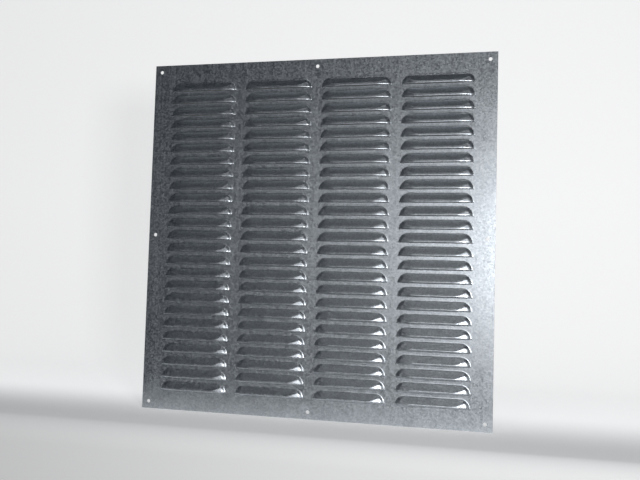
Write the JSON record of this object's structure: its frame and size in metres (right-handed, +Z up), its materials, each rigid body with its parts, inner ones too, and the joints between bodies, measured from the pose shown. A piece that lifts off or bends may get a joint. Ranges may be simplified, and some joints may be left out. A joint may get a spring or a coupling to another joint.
{
  "type": "louvred ventilation grille",
  "caption": "Square galvanised steel ventilation plate with columns of pressed louvres that open downwards, and small screw holes round its edge.",
  "frame": {"origin": "middle of the plate's back face, where it lies on the wall", "axes": "+Z up the plate, +X to the right seen from the front, +Y into the wall; the louvres stand out of the front towards -Y and open towards -Z"},
  "size_m": [0.5, 0.0066, 0.5],
  "materials": {
    "galvanised_steel": "hot-dip galvanised sheet, satin grey with a fine mottled grain"
  },
  "bodies": {
    "root": {"louvre_plate": "galvanised_steel"}
  },
  "joints": []
}
